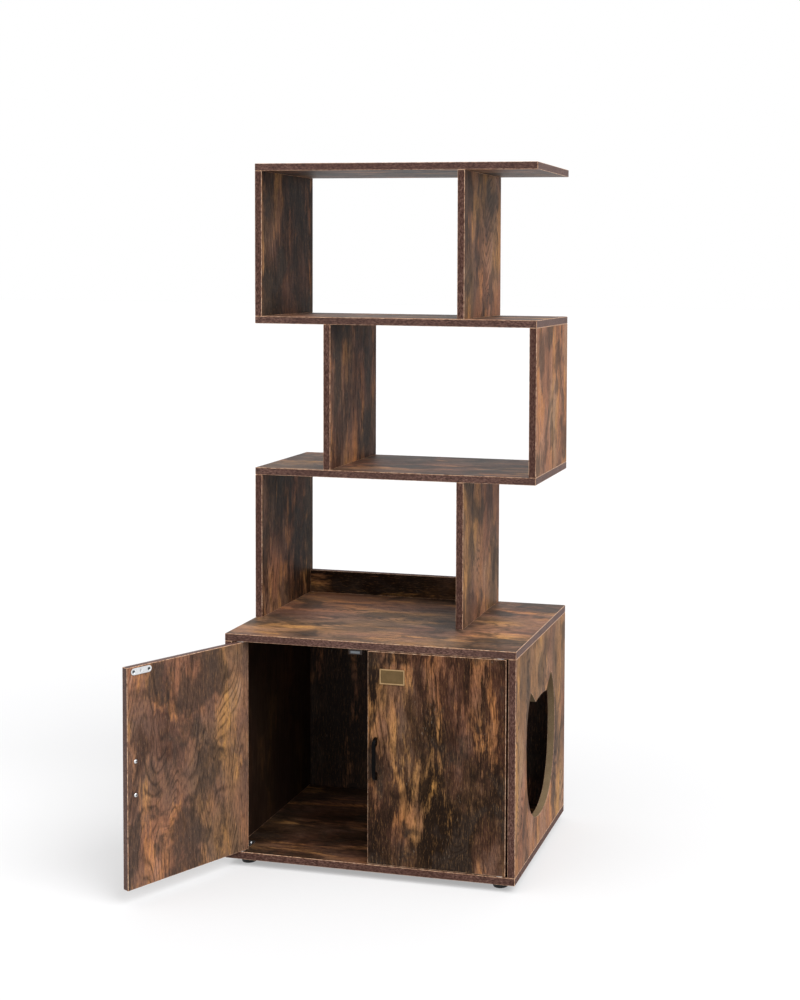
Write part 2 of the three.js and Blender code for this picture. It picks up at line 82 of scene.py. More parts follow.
def make_camera():
    forward = Vector((-math.sin(YAW) * math.cos(PITCH), math.cos(YAW) * math.cos(PITCH), math.sin(PITCH)))
    level = Vector((math.cos(YAW), math.sin(YAW), 0))
    upright = level.cross(forward)
    right = level * math.cos(ROLL) + upright * math.sin(ROLL)
    up = upright * math.cos(ROLL) - level * math.sin(ROLL)
    camera = bpy.data.objects.new("camera", bpy.data.cameras.new("camera"))
    scene.collection.objects.link(camera)
    turn = Matrix((right, up, -forward)).transposed().to_4x4()
    camera.matrix_world = Matrix.Translation(CAMERA_AT) @ turn
    longest = max(IMAGE_PX)
    camera.data.sensor_width = SENSOR
    camera.data.lens = FOCAL_PX / longest * SENSOR
    camera.data.shift_x = (IMAGE_PX[0] / 2 - PRINCIPAL_PX[0]) / longest
    camera.data.shift_y = (PRINCIPAL_PX[1] - IMAGE_PX[1] / 2) / longest
    scene.camera = camera


# ---------------------------------------------------------------- node helpers

NOISE_LOW, NOISE_MIDDLE, NOISE_HIGH = 0.3, 0.5, 0.7  # most of a noise's values lie between the outer two
MIX_FACTOR, MIX_A, MIX_B, MIX_RESULT = 0, 6, 7, 2  # a Mix node's sockets for colours
WHITE = (1.0, 1.0, 1.0, 1.0)


def srgb(r, g, b):
    """An 8-bit display colour as the linear colour that Blender takes."""
    def linear(v):
        v /= 255
        return v / 12.92 if v <= 0.04045 else ((v + 0.055) / 1.055) ** 2.4
    return (linear(r), linear(g), linear(b), 1.0)


class Span(NamedTuple):
    """A layer comes in while a value goes from none to full, and most is how strong it becomes."""

    none: float
    full: float
    most: float = 1.0


class Graph:
    """A node tree with short calls for the nodes used here. Sockets go in and come out."""

    def __init__(self, tree):
        self.tree = tree

    def node(self, kind, inputs=None, **settings):
        made = self.tree.nodes.new(kind)
        for key, value in settings.items():
            setattr(made, key, value)
        for key, value in (inputs or {}).items():
            self.feed(made.inputs[key], value)
        return made

    def feed(self, socket, value):
        if isinstance(value, bpy.types.NodeSocket):
            self.tree.links.new(value, socket)
        else:
            socket.default_value = value

    def coordinates(self, scale=(1, 1, 1), offset=(0, 0, 0), turn=0.0):
        """Object coordinates, turned about Z, then scaled and shifted."""
        place = self.node("ShaderNodeTexCoord").outputs["Object"]
        if turn:
            place = self.node("ShaderNodeMapping", {"Vector": place, "Rotation": (0, 0, turn)}).outputs[0]
        inputs = {"Vector": place, "Location": offset, "Scale": scale}
        return self.node("ShaderNodeMapping", inputs).outputs[0]

    def facing(self, axis):
        """1 where the surface faces along axis, 0 where it lies along it and -1 where it faces away."""
        inputs = {0: self.node("ShaderNodeTexCoord").outputs["Normal"], 1: axis}
        return self.node("ShaderNodeVectorMath", inputs, operation="DOT_PRODUCT").outputs["Value"]

    def noise(self, vector, scale, detail=3.0, roughness=0.5, distortion=0.0):
        inputs = {"Vector": vector, "Scale": scale, "Detail": detail, "Roughness": roughness,
                  "Distortion": distortion}
        return self.node("ShaderNodeTexNoise", inputs).outputs["Fac"]

    def ramp(self, fac, stops):
        """A colour for each value, from (position, colour) pairs. One of a new node's two stops is kept."""
        made = self.node("ShaderNodeValToRGB", {"Fac": fac})
        elements = made.color_ramp.elements
        elements.remove(elements[-1])
        for i, (position, color) in enumerate(stops):
            element = elements.new(position) if i else elements[0]
            element.position = position
            element.color = color
        return made.outputs["Color"]

    def remap(self, value, low, high, to_low, to_high):
        inputs = {"Value": value, "From Min": low, "From Max": high, "To Min": to_low, "To Max": to_high}
        return self.node("ShaderNodeMapRange", inputs).outputs[0]

    def within(self, value, span):
        """How strong a layer is, by the span in which it comes in."""
        return self.remap(value, span.none, span.full, 0, span.most)

    def spread(self, noise, to_low, to_high):
        """A noise's values, moved so that they lie between two others."""
        return self.remap(noise, NOISE_LOW, NOISE_HIGH, to_low, to_high)

    def math(self, operation, a, b=0.0):
        return self.node("ShaderNodeMath", {0: a, 1: b}, operation=operation).outputs[0]

    def mix(self, fac, a, b, blend="MIX"):
        inputs = {MIX_FACTOR: fac, MIX_A: a, MIX_B: b}
        return self.node("ShaderNodeMix", inputs, data_type="RGBA", blend_type=blend).outputs[MIX_RESULT]


class Finish(Graph):
    """A material's node tree, with its shader."""

    def __init__(self, name):
        self.material = bpy.data.materials.new(name)
        self.material.use_nodes = True
        super().__init__(self.material.node_tree)
        self.shader = self.tree.nodes["Principled BSDF"]

    def bump(self, height, strength, distance):
        inputs = {"Height": height, "Strength": strength, "Distance": distance}
        self.feed(self.shader.inputs["Normal"], self.node("ShaderNodeBump", inputs).outputs[0])

    def surface(self, color, roughness, metallic=0.0, specular=0.5):
        for name, value in (("Base Color", color), ("Roughness", roughness), ("Metallic", metallic),
                            ("Specular IOR Level", specular)):
            self.feed(self.shader.inputs[name], value)
        return self.material


# ---------------------------------------------------------------- the print on the boards' faces

INK = srgb(32, 21, 15)
CHARCOAL = srgb(54, 39, 30)
UMBER = srgb(84, 60, 47)
BROWN = srgb(114, 89, 76)
RUST = srgb(152, 113, 87)
TAN = srgb(184, 147, 122)
GOLD = srgb(208, 154, 98)
SPECK = srgb(168, 150, 132)
SOOT = srgb(56, 45, 38)
ROSY_TINT = srgb(255, 232, 224)
OLIVE_TINT = srgb(250, 244, 216)


class Noise(NamedTuple):
    """A noise of the print. A lower stretch draws it out along the grain, and shift sets it apart."""

    stretch: float
    shift: float
    scale: float
    detail: float = 3.0
    roughness: float = 0.5
    distortion: float = 0.0


# The layers of the print. A value such as SCRAPES_CLOUDS is how much of another layer is in this one, PLACES
# is a noise that says where a layer shows at all, and MOST is how strong it becomes.
STREAKS = Noise(0.10, 3.1, 150, 6, 0.72, 0.15)

CLOUDS = Noise(0.5, 0.0, 9.0, 6, 0.60, 0.3)
CLOUDS_STREAKS = 0.24
CLOUDS_KNOTS = 0.2
CLOUDS_STOPS = ((0.36, INK), (0.43, CHARCOAL), (0.50, UMBER), (0.60, BROWN), (0.72, RUST), (0.86, TAN))

KNOTS_STRETCH, KNOTS_SHIFT, KNOTS_SCALE = 0.6, 6.3, 5.2
KNOTS_SPAN = Span(0.15, 0.0)  # of the distance from a knot's middle

SCRAPES = Noise(0.24, 9.6, 19, 6, 0.64, 0.4)
SCRAPES_CLOUDS = 0.5
SCRAPES_STREAKS = 0.42
SCRAPES_LIGHT = 0.2  # how far a lighter board is scraped more
SCRAPES_SPAN = Span(0.53, 0.63, 0.85)
GILT = Noise(0.3, 2.6, 26, 4, 0.6)
GILT_SPAN = Span(0.42, 0.60)

HUES = Noise(0.5, 12.9, 7, 3)
ROSY_SPAN = Span(0.42, 0.58)
OLIVE_SPAN = Span(0.50, 0.36)

SMOKE = Noise(0.6, 11.3, 14, 5, 0.56, 0.5)
SMOKE_STREAKS = 0.14
SMOKE_SPAN = Span(0.525, 0.60, 0.85)
SMOKE_LIGHT = 0.7  # how far a lighter board has less of it

RINGS = Noise(0.16, 4.7, 5.5, 2.0, 0.45, 0.5)
RINGS_KNOTS = 0.10
RINGS_COUNT = 74.0  # rings from the noise's lowest value to its highest
RINGS_FOLD = 0.5
RINGS_SPAN = Span(0.24, 0.03, 0.66)
RING_PLACES = Noise(0.3, 8.8, 30, 3, 0.6)
RING_PLACES_SPAN = Span(0.38, 0.56)

FIBRE = Noise(0.13, 7.7, 560, 4, 0.75)
DARK_FIBRE_SPAN = Span(0.52, 0.36, 0.64)
LIGHT_FIBRE_SPAN = Span(0.55, 0.74, 0.30)

FLECKS = Noise(0.3, 1.9, 330, 2, 0.6)
FLECKS_SPAN = Span(0.66, 0.72)
FLECK_PLACES = Noise(0.6, 5.9, 20, 3)
FLECK_PLACES_SPAN = Span(0.52, 0.60)
FLECKS_MOST = 0.25

CRACKS = Noise(0.05, 2.3, 26, 5, 0.6, 0.2)
CRACKS_LEVEL = 0.47  # a crack runs where the noise has this value
CRACKS_SPAN = Span(0.006, 0.001)
CRACK_PLACES = Noise(0.4, 9.1, 15, 3)
CRACK_PLACES_SPAN = Span(0.46, 0.56)
CRACKS_MOST = 0.85

SAW_MARKS = Noise(14.0, 5.0, 36, 2, 0.6)  # across the grain
SAW_MARKS_SPAN = Span(0.60, 0.70)
SAW_PLACES = Noise(1.0, 2.2, 12, 2)
SAW_PLACES_SPAN = Span(0.54, 0.66)
SAW_MARKS_MOST = 0.42


def along(axis, amount):
    """A texture scale that differs along one axis alone, where less than 1 draws the pattern out."""
    return tuple(amount if i == axis else 1.0 for i in range(3))


class PlankPrint:
    """The printed face: dark weathered planks with scraped golden places, soot, knots and fine grain.

    grain is the axis that the planks run along, and offset the board's place in the endless print. light
    moves the whole print toward its tan end, or toward its dark end where it is negative; it is partly the
    print's own tone and partly painted light and shade. turn is the angle about Z that brings the board in
    line with the axes.
    """

    def __init__(self, g, grain, offset, light, turn=0.0):
        self.g, self.grain, self.offset, self.light, self.turn = g, grain, offset, light, turn
        self.streaks = self.noise(STREAKS)
        self.clouds = self.noise(CLOUDS)
        self.fibre = self.noise(FIBRE)
        self.knots = self.make_knots()
        self.color = self.planks()
        for layer in (self.scrapes, self.hues, self.smoke, self.rings, self.fibres, self.flecks, self.cracks,
                      self.saw_marks):
            self.color = layer(self.color)

    def coordinates(self, stretch, shift):
        place = tuple(v + shift for v in self.offset)
        return self.g.coordinates(along(self.grain, stretch), place, self.turn)

    def noise(self, facts):
        return self.g.noise(self.coordinates(facts.stretch, facts.shift), *facts[2:])

    def part_of(self, noise, amount):
        """A share of a noise, as a number to add that is about zero on average."""
        return self.g.math("MULTIPLY", self.g.math("SUBTRACT", noise, NOISE_MIDDLE), amount)

    def make_knots(self):
        inputs = {"Vector": self.coordinates(KNOTS_STRETCH, KNOTS_SHIFT), "Scale": KNOTS_SCALE}
        distance = self.g.node("ShaderNodeTexVoronoi", inputs).outputs["Distance"]
        near = self.g.within(distance, KNOTS_SPAN)
        return self.g.math("MULTIPLY", near, near)

    def planks(self):
        g = self.g
        shade = g.math("ADD", self.clouds, self.part_of(self.streaks, CLOUDS_STREAKS))
        shade = g.math("SUBTRACT", shade, g.math("MULTIPLY", self.knots, CLOUDS_KNOTS))
        return g.ramp(g.math("ADD", shade, self.light), CLOUDS_STOPS)

    def scrapes(self, color):
        g = self.g
        scraped = g.math("ADD", self.noise(SCRAPES), self.part_of(self.clouds, SCRAPES_CLOUDS))
        scraped = g.math("ADD", scraped, self.part_of(self.streaks, SCRAPES_STREAKS))
        scraped = g.math("ADD", scraped, SCRAPES_LIGHT * self.light)
        bright = g.mix(g.within(self.noise(GILT), GILT_SPAN), RUST, GOLD)
        return g.mix(g.within(scraped, SCRAPES_SPAN), color, bright)

    def hues(self, color):
        g = self.g
        hue = self.noise(HUES)
        color = g.mix(g.within(hue, ROSY_SPAN), color, g.mix(1.0, color, ROSY_TINT, "MULTIPLY"))
        return g.mix(g.within(hue, OLIVE_SPAN), color, g.mix(1.0, color, OLIVE_TINT, "MULTIPLY"))

    def smoke(self, color):
        g = self.g
        smoke = g.math("ADD", self.noise(SMOKE), self.part_of(self.streaks, SMOKE_STREAKS))
        span = SMOKE_SPAN._replace(most=SMOKE_SPAN.most - SMOKE_LIGHT * self.light)
        return g.mix(g.within(smoke, span), color, SOOT)

    def rings(self, color):
        g = self.g
        field = g.math("ADD", self.noise(RINGS), g.math("MULTIPLY", self.knots, RINGS_KNOTS))
        rings = g.math("PINGPONG", g.math("MULTIPLY", field, RINGS_COUNT), RINGS_FOLD)
        places = g.within(self.noise(RING_PLACES), RING_PLACES_SPAN)
        return g.mix(g.math("MULTIPLY", g.within(rings, RINGS_SPAN), places), color, INK)

    def fibres(self, color):
        g = self.g
        color = g.mix(g.within(self.fibre, DARK_FIBRE_SPAN), color, INK)
        return g.mix(g.within(self.fibre, LIGHT_FIBRE_SPAN), color, GOLD)

    def flecks(self, color):
        g = self.g
        flecks = g.math("MULTIPLY", g.within(self.noise(FLECKS), FLECKS_SPAN),
                        g.within(self.noise(FLECK_PLACES), FLECK_PLACES_SPAN))
        return g.mix(g.math("MULTIPLY", flecks, FLECKS_MOST), color, SPECK)

    def cracks(self, color):
        g = self.g
        away = g.math("ABSOLUTE", g.math("SUBTRACT", self.noise(CRACKS), CRACKS_LEVEL))
        cracks = g.math("MULTIPLY", g.within(away, CRACKS_SPAN),
                        g.within(self.noise(CRACK_PLACES), CRACK_PLACES_SPAN))
        return g.mix(g.math("MULTIPLY", cracks, CRACKS_MOST), color, INK)

    def saw_marks(self, color):
        g = self.g
        marks = g.math("MULTIPLY", g.within(self.noise(SAW_MARKS), SAW_MARKS_SPAN),
                       g.within(self.noise(SAW_PLACES), SAW_PLACES_SPAN))
        return g.mix(g.math("MULTIPLY", marks, SAW_MARKS_MOST), color, INK)


# ---------------------------------------------------------------- boards' materials

FACE_COSINE = 0.7  # a point whose normal is nearer to the board's thickness axis than this is on a face
INNER_FACE = (0.6, FACE_COSINE)  # the painted shade on an inner face comes in between these

# In this section and the next, GRAIN and PATCHES are a noise's scale, detail and roughness, RELIEF is a
# bump's strength and depth, SHEEN is the shader's specular level, and ROUGHNESS is its roughness, which is
# given both where the noise is low and where it is high if it varies.
LAMINATE_RELIEF = (0.3, 0.5 * MM)
LAMINATE_FIBRE = 0.5  # how much of the fibre is in the relief, beside the streaks
LAMINATE_ROUGHNESS = (0.62, 0.46)

EDGE_STRETCH = 0.42
EDGE_SHIFT = (1.3, 2.9, 0.7)
EDGE_GRAIN = (420, 4, 0.65)
EDGE_STOPS = ((0.34, srgb(52, 36, 33)), (0.48, srgb(90, 63, 55)), (0.60, srgb(116, 86, 76)),
              (0.72, srgb(146, 112, 98)))
EDGE_PATCH_STRETCH = 0.3
EDGE_PATCH_SHIFT = (4.4, 0.2, 6.1)
EDGE_PATCHES = (26, 3, 0.5)
EDGE_PATCH_SPAN = Span(0.35, 0.65, 0.5)
EDGE_PATCH = srgb(70, 46, 40)

# the arris colours are paler than the face and the band: worn corners, and a painted highlight along each
# edge
ARRIS_GRAIN = (130, 4, 0.6)
ARRIS_PATCHES = (60, 2)
ARRIS_STOPS = ((0.36, srgb(120, 86, 66)), (0.5, srgb(188, 146, 116)), (0.64, srgb(214, 178, 148)))
ARRIS_ROUGHNESS = (0.4, 0.55)
ARRIS_SHEEN = 0.3

FELT_GRAIN = (900, 4, 0.7)
CORE_STOPS = ((0.32, srgb(104, 86, 62)), (0.68, srgb(150, 128, 98)))
CORE_PATCHES = (45, 3)
CORE_PATCH_SPAN = Span(0.4, 0.62, 0.4)
CORE_PATCH = srgb(112, 92, 68)
CORE_RELIEF = (0.25, 0.3 * MM)
CORE_ROUGHNESS = 0.7
CORE_SHEEN = 0.2

HARDBOARD_BACK_STOPS = ((0.35, srgb(74, 55, 41)), (0.65, srgb(104, 79, 59)))
HARDBOARD_RELIEF = (0.2, 0.4 * MM)
HARDBOARD_ROUGHNESS = (0.75, 0.6)
HARDBOARD_SHEEN = 0.3


class Board(NamedTuple):
    """How a board is covered. thickness is the axis across it.

    grain, offset, light and turn are the print's. light is partly the print's own tone, which differs from
    board
    to board, and partly painted light: boards that face the key light are made lighter, and those in shadow
    or facing away darker. The inner shade is painted shade: how far the face in the litter chamber is
    darkened, the board's upper face along its thickness, or its lower one where it is negative. sheen is the
    shader's specular level.
    """

    thickness: int
    grain: int
    offset: tuple
    light: float
    painted_inner_shade: float = 0.0
    sheen: float = 0.06
    turn: float = 0.0


LEFT_DOOR_OPEN = math.radians(117.5)  # as it rests

# light is partly painted light: the right side and the right uprights, which face the key light, are made
# lighter, and boards in shadow darker. A nonzero inner shade paints shade on the face inside the litter
# chamber.
BOARDS = {
    "cabinet_top_board": Board(Z, X, (0.3, 2.1, 0.4), light=0.11, sheen=0.2),
    "cabinet_bottom_board": Board(Z, X, (5.2, 1.4, 3.8), light=0.0, painted_inner_shade=0.35),
    "cabinet_left_side": Board(X, Z, (2.7, 0.9, 6.3), light=0.02, painted_inner_shade=0.92),
    "cabinet_right_side": Board(X, Z, (4.9, 7.2, 1.1), light=0.24, painted_inner_shade=-0.92),
    "right_door": Board(Y, Z, (11.0, 9.0, 3.2), light=-0.06),
    "left_door": Board(Y, Z, (9.7, 14.8, 6.8), light=0.14, sheen=0.3, turn=LEFT_DOOR_OPEN),
    "tier_2_shelf": Board(Z, X, (6.4, 3.7, 0.9), light=0.05, sheen=0.2),
    "tier_3_shelf": Board(Z, X, (7.7, 5.9, 4.2), light=0.04, sheen=0.2),
    "top_shelf": Board(Z, X, (3.6, 8.8, 2.3), light=0.05, sheen=0.2),
    "level_2_left_upright": Board(X, Z, (0.7, 1.2, 7.9), light=0.0),
    "level_2_right_upright": Board(X, Z, (8.5, 2.8, 3.1), light=0.18),
    "level_3_left_upright": Board(X, Z, (2.2, 9.6, 4.7), light=0.06),
    "level_3_right_upright": Board(X, Z, (5.8, 0.6, 8.4), light=0.28),
    "level_4_left_upright": Board(X, Z, (9.9, 7.5, 6.0), light=0.0),
    "level_4_right_upright": Board(X, Z, (1.1, 5.3, 9.2), light=0.19),
    "back_rail": Board(Y, X, (4.3, 4.4, 5.1), light=-0.05),
}
# The back panel is made darker, partly as painted shade inside the litter chamber.
BACK_PANEL = Board(Y, Z, (8.1, 3.3, 1.9), light=-0.09)


def edge_band(g, board):
    """Edge band: dark maroon print broken up by short pinkish flecks."""
    fine = g.noise(g.coordinates(along(board.grain, EDGE_STRETCH), EDGE_SHIFT, board.turn), *EDGE_GRAIN)
    vector = g.coordinates(along(board.grain, EDGE_PATCH_STRETCH), EDGE_PATCH_SHIFT, board.turn)
    patches = g.within(g.noise(vector, *EDGE_PATCHES), EDGE_PATCH_SPAN)
    return g.mix(patches, g.ramp(fine, EDGE_STOPS), EDGE_PATCH)


def laminate(name, board):
    """One board's material. Its two faces show the plank print and the rest the edge band."""
    g = Finish(name)
    axis = Vector([float(i == board.thickness) for i in range(3)])
    axis.rotate(Euler((0, 0, -board.turn)))
    facing = g.facing(axis)
    printed = PlankPrint(g, board.grain, board.offset, board.light, board.turn)
    color = printed.color
    # painted shade: the face inside the litter chamber is darkened toward INK
    if board.painted_inner_shade:
        inner = g.math("MULTIPLY", facing, math.copysign(1, board.painted_inner_shade))
        color = g.mix(g.within(inner, Span(*INNER_FACE, abs(board.painted_inner_shade))), color, INK)
    is_edge = g.math("LESS_THAN", g.math("ABSOLUTE", facing), FACE_COSINE)
    color = g.mix(is_edge, color, edge_band(g, board))
    height = g.math("ADD", printed.streaks, g.math("MULTIPLY", printed.fibre, LAMINATE_FIBRE))
    g.bump(height, *LAMINATE_RELIEF)
    return g.surface(color, g.spread(printed.streaks, *LAMINATE_ROUGHNESS), specular=board.sheen)


def arris_material():
    """Corner between a board's face and its edge band: worn, and paler as a painted highlight along the
    edge.
    """
    g = Finish("arris")
    vector = g.coordinates()
    color = g.ramp(g.noise(vector, *ARRIS_GRAIN), ARRIS_STOPS)
    rough = g.spread(g.noise(vector, *ARRIS_PATCHES), *ARRIS_ROUGHNESS)
    return g.surface(color, rough, specular=ARRIS_SHEEN)


def core_material():
    """Routed and sealed fibreboard: plain olive-brown with a faint felted grain."""
    g = Finish("core")
    vector = g.coordinates()
    fine = g.noise(vector, *FELT_GRAIN)
    patches = g.within(g.noise(vector, *CORE_PATCHES), CORE_PATCH_SPAN)
    color = g.mix(patches, g.ramp(fine, CORE_STOPS), CORE_PATCH)
    g.bump(fine, *CORE_RELIEF)
    return g.surface(color, CORE_ROUGHNESS, specular=CORE_SHEEN)


def hardboard_material():
    """The thin back panel: printed on the side of the litter chamber and felted on the other."""
    g = Finish("hardboard")
    printed = PlankPrint(g, BACK_PANEL.grain, BACK_PANEL.offset, BACK_PANEL.light)
    felted = g.ramp(g.noise(g.coordinates(), *FELT_GRAIN), HARDBOARD_BACK_STOPS)
    color = g.mix(g.math("GREATER_THAN", g.facing((0, 1, 0)), FACE_COSINE), printed.color, felted)
    g.bump(printed.fibre, *HARDBOARD_RELIEF)
    return g.surface(color, g.spread(printed.streaks, *HARDBOARD_ROUGHNESS), specular=HARDBOARD_SHEEN)


# ---------------------------------------------------------------- metals and plastics

METAL_GRAIN = (1400, 4, 0.6)
METAL_PATCHES = (70, 3, 0.5)
METAL_WORN_SPAN = Span(0.4, 0.66, 0.5)
METAL_PIT_SPAN = Span(0.35, 0.65, 0.14)
METAL_PIT = srgb(30, 28, 26)
METAL_ROUGHER, METAL_SMOOTHER = 0.08, 0.06  # how far its roughness varies either way
METAL_RELIEF = (0.12, 0.2 * MM)

PLASTIC_GRAIN = (1800, 3, 0.6)
PLASTIC_PATCHES = (40, 3)
PLASTIC_PATCH_SPAN = Span(0.35, 0.65)
PLASTIC_PATCH_GAIN, PLASTIC_PATCH_LIFT = 1.5, 0.004  # how its lighter patches come from its colour
PLASTIC_ROUGHNESS = (0.56, 0.44)
PLASTIC_SHEEN = 0.45
PLASTIC_RELIEF = (0.2, 0.2 * MM)

# name: colour, colour where it is worn, roughness
METALS = {
    "zinc_steel": (srgb(206, 208, 210), srgb(180, 182, 186), 0.34),
    "bright_steel": (srgb(240, 242, 243), srgb(226, 229, 232), 0.3),
    "dark_steel": (srgb(120, 124, 128), srgb(92, 96, 100), 0.4),
    # the recess metal is darker: painted shade in the screws' cross recesses, with some grime
    "recess_grime_and_painted_shade": (srgb(74, 72, 70), srgb(46, 44, 42), 0.55),
    "black_coat": (srgb(18, 18, 19), srgb(12, 12, 12), 0.4),
    "brass": (srgb(186, 154, 112), srgb(160, 130, 92), 0.42),
    "brass_field": (srgb(118, 96, 66), srgb(96, 78, 52), 0.55),
}
PLASTICS = {
    "black_plastic": srgb(20, 20, 20),
    "nylon": srgb(216, 213, 204),
    "catch_plastic": srgb(52, 40, 34),
}


def metal_material(name, color, worn, roughness):
    """Metal with broad worn patches and fine darker pits."""
    g = Finish(name)
    vector = g.coordinates()
    fine = g.noise(vector, *METAL_GRAIN)
    tone = g.mix(g.within(g.noise(vector, *METAL_PATCHES), METAL_WORN_SPAN), color, worn)
    tone = g.mix(g.within(fine, METAL_PIT_SPAN), tone, METAL_PIT)
    g.bump(fine, *METAL_RELIEF)
    rough = g.spread(fine, roughness + METAL_ROUGHER, roughness - METAL_SMOOTHER)
    return g.surface(tone, rough, metallic=1.0)


def plastic_material(name, color):
    """Plastic with a fine texture and broad patches of a lighter tone."""
    g = Finish(name)
    vector = g.coordinates()
    fine = g.noise(vector, *PLASTIC_GRAIN)
    lighter = tuple(min(1.0, c * PLASTIC_PATCH_GAIN + PLASTIC_PATCH_LIFT) for c in color[:3]) + (1.0,)
    tone = g.mix(g.within(g.noise(vector, *PLASTIC_PATCHES), PLASTIC_PATCH_SPAN), color, lighter)
    g.bump(fine, *PLASTIC_RELIEF)
    return g.surface(tone, g.spread(fine, *PLASTIC_ROUGHNESS), specular=PLASTIC_SHEEN)


# ---------------------------------------------------------------- light, floor

KEY_TOWARD = (0.80, -0.50, 0.85)
KEY_STRENGTH = 2.3
KEY_SPREAD = 40
FILL_TOWARD = (-0.40, -0.70, 1.30)
FILL_STRENGTH = 0.8
FILL_SPREAD = 70
WORLD_ZENITH = 0.95
WORLD_HORIZON = 0.04
WORLD_SEEN = 1.0
FLOOR_HALF = 40
FLOOR_COLOR = (0.50, 0.50, 0.505, 1)
FLOOR_ROUGHNESS = 0.9
FLOOR_LIFT = 0.38


def soft_sun(name, toward, strength, spread):
    """A wide, even light that comes from the direction toward, as from a large softbox far away."""
    light = bpy.data.lights.new(name, "SUN")
    light.energy = strength
    light.angle = math.radians(spread)
    lamp = bpy.data.objects.new(name, light)
    lamp.rotation_euler = Vector(toward).to_track_quat("Z", "Y").to_euler()
    scene.collection.objects.link(lamp)


def seen_directly(g):
    """1 where the camera, a reflection or a see-through piece shows this, 0 where it only lights."""
    path = g.node("ShaderNodeLightPath")
    seen = path.outputs["Is Camera Ray"]
    for kind in ("Is Glossy Ray", "Is Transmission Ray"):
        seen = g.math("MAXIMUM", seen, path.outputs[kind])
    return seen


def make_world():
    """White where it is seen. As a light it is strongest overhead and weak near the horizon."""
    world = bpy.data.worlds.new("studio")
    scene.world = world
    world.use_nodes = True
    g = Graph(world.node_tree)
    background = g.tree.nodes["Background"]
    background.inputs["Color"].default_value = WHITE
    direction = g.node("ShaderNodeTexCoord").outputs["Generated"]
    height = g.node("ShaderNodeSeparateXYZ", {0: direction}).outputs["Z"]
    dome = g.remap(height, 0, 1, WORLD_HORIZON, WORLD_ZENITH)
    strength = g.node("ShaderNodeMix", {"Factor": seen_directly(g), "A": dome, "B": WORLD_SEEN})
    g.feed(background.inputs["Strength"], strength.outputs["Result"])


def make_floor():
    """A plain pale floor that keeps the object's shadow. It is lifted to white only where it is seen."""
    mesh = bpy.data.meshes.new("floor")
    bm = bmesh.new()
    bmesh.ops.create_grid(bm, x_segments=1, y_segments=1, size=FLOOR_HALF)
    bm.to_mesh(mesh)
    bm.free()
    floor = bpy.data.objects.new("floor", mesh)
    scene.collection.objects.link(floor)
    g = Finish("floor")
    g.surface(FLOOR_COLOR, FLOOR_ROUGHNESS, specular=0.0)
    g.shader.inputs["Emission Color"].default_value = WHITE
    g.feed(g.shader.inputs["Emission Strength"], g.math("MULTIPLY", seen_directly(g), FLOOR_LIFT))
    mesh.materials.append(g.material)


# ---------------------------------------------------------------- dressing the CAD nodes

EASE_SEGMENTS = 2
SHARP = math.radians(40)  # an edge that turns more than this is sharp
FLAT = math.radians(1)  # and one that turns less than this is flat
JOINED = 0.01 * MM  # points nearer than this are one
LEVEL = 0.05 * MM  # points that differ by less than this along an axis are level
EDGE_MARKS = "bevel_weight_edge"

BOARD_EASE = 1.0 * MM
ARRIS_SLOT = 1
EDGE_ZONE = 20 * MM  # from a board's edges, further in than its grooves
WALL_COSINE = 0.5  # a face whose normal is further than this from the thickness axis is a wall

PLATE_BORDER = 2.0 * MM  # from the plate's edges, a little less than its border is wide
PLATE_EASE = 0.2 * MM
PLATE_FIELD_SLOT = 1
FRONT_COSINE = 0.9  # a face whose normal is nearer than this to the way forward is a front

# how the name of a node starts or ends: its material and how wide its edges are eased, if they are
FITTINGS = {
    "foot_": ("black_plastic", None),
    "_handle": ("black_coat", 0.5 * MM),
    "_pivot": ("zinc_steel", None),
    "_strike_plate": ("bright_steel", 0.25 * MM),
    "_magnet": ("dark_steel", 0.25 * MM),
    "_bush": ("nylon", None),
    "_catch": ("catch_plastic", 0.4 * MM),
}


def ease(node, width=None, material_index=-1):
    """Joins a CAD solid's faces, rounds its sharp edges and shades its curves smooth, with modifiers alone.

    Where some of its edges are marked, only those are rounded.
    """
    attributes = node.data.attributes
    if "custom_normal" in attributes:
        attributes.remove(attributes["custom_normal"])
    node.data.shade_smooth()
    node.modifiers.new("joined corners", "WELD").merge_threshold = JOINED
    if width:
        flat = node.modifiers.new("flat faces", "DECIMATE")
        flat.decimate_type = "DISSOLVE"
        flat.angle_limit = FLAT
        flat.delimit = {"MATERIAL"}
        bevel = node.modifiers.new("eased edges", "BEVEL")
        bevel.width = width
        bevel.segments = EASE_SEGMENTS
        bevel.limit_method = "WEIGHT" if EDGE_MARKS in attributes else "ANGLE"
        bevel.angle_limit = SHARP
        bevel.use_clamp_overlap = False
        bevel.loop_slide = False
        bevel.material = material_index
    node.modifiers.new("crisp edges", "EDGE_SPLIT").split_angle = SHARP
    if width:
        node.modifiers.new("shading", "WEIGHTED_NORMAL")


def dress(name, materials, ease_width=None, eased_slot=-1):
    node = nodes[name]
    node.data.materials.clear()
    for material in materials:
        node.data.materials.append(material)
    ease(node, ease_width, eased_slot)


def mark_outline(node, turn):
    """Marks the edges where two of a board's outer faces meet. turn is the board's."""
    mesh = node.data
    in_line = Matrix.Rotation(turn, 3, "Z")
    points = [in_line @ v.co for v in mesh.vertices]
    bounds = [(i, pick(p[i] for p in points)) for i in range(3) for pick in (min, max)]
    marks = mesh.attributes.new(EDGE_MARKS, "FLOAT", "EDGE")
    for edge in mesh.edges:
        on = [all(abs(points[v][i] - bound) < LEVEL for v in edge.vertices) for i, bound in bounds]
        marks.data[edge.index].value = float(sum(on) > 1)


def dress_boards():
    arris = arris_material()
    for name, board in BOARDS.items():
        mark_outline(nodes[name], board.turn)
        dress(name, [laminate(name + "_laminate", board), arris], BOARD_EASE, ARRIS_SLOT)


